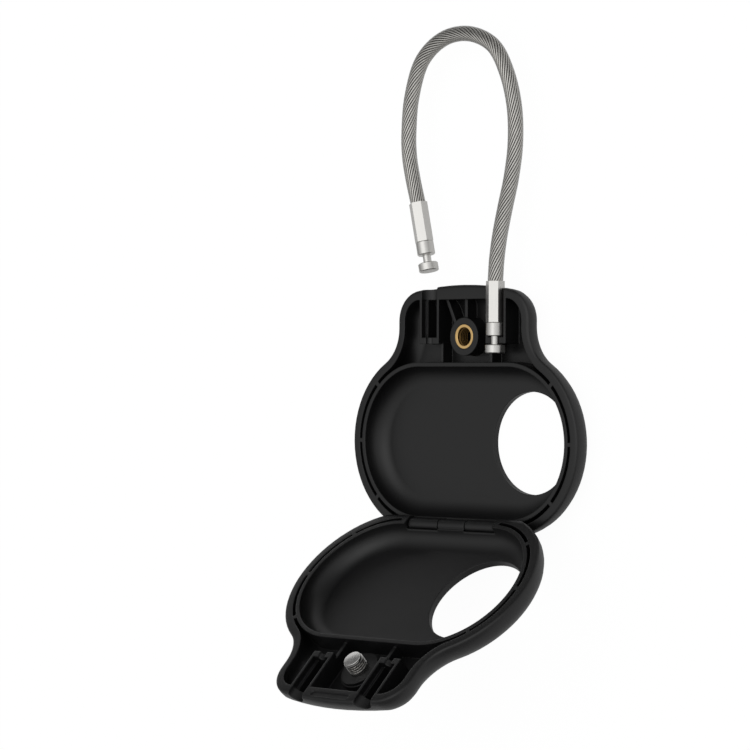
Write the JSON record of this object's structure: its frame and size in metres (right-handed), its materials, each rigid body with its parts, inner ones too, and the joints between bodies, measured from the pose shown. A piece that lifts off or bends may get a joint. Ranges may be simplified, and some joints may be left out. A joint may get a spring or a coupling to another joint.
{
  "type": "tracker tag holder",
  "caption": "Hinged two-shell holder with a stadium pocket for a pill-shaped tracker tag, off-centre ring windows, a clamp screw and a wire rope loop with button-ended ferrules.",
  "frame": {"origin": "on the rear shell's flat back, under the middle of the tag pocket", "axes": "+X along the hinge towards the windows, +Y from the hinge to the neck and the rope loop, +Z out of the rear shell's open side"},
  "size_m": [0.0596, 0.1301, 0.0416],
  "materials": {
    "shell_plastic": "fine spark-eroded texture",
    "insert_brass": "machined",
    "screw_steel": "machined",
    "pin_steel": "drawn",
    "washer_nylon": "smooth",
    "rope_steel": "stranded",
    "sleeve_clear": "clear",
    "ferrule_steel": "turned"
  },
  "bodies": {
    "rear": {"rear_shell": "shell_plastic", "threaded_insert": "insert_brass", "hinge_pin": "pin_steel", "wire_rope": "rope_steel", "rope_sleeve": "sleeve_clear", "seated_ferrule": "ferrule_steel", "free_ferrule": "ferrule_steel"},
    "lid": {"front_shell": "shell_plastic"},
    "washer": {"screw_washer": "washer_nylon"},
    "screw": {"clamp_screw": "screw_steel"}
  },
  "joints": [
    {"name": "lid_hinge", "type": "hinge", "parent": "rear", "child": "lid", "pos_m": [0, -0.01615, 0.0071], "axis": [1, 0, 0], "range_deg": [-134, 6]},
    {"name": "screw_travel", "type": "slide", "parent": "lid", "child": "washer", "axis": [0, 0.7193, 0.6947], "range_m": [0, 0.00195]},
    {"name": "screw_turn", "type": "hinge", "parent": "washer", "child": "screw", "pos_m": [0, -0.04046, 0.03465], "axis": [0, 0.7193, 0.6947], "continuous": true}
  ]
}
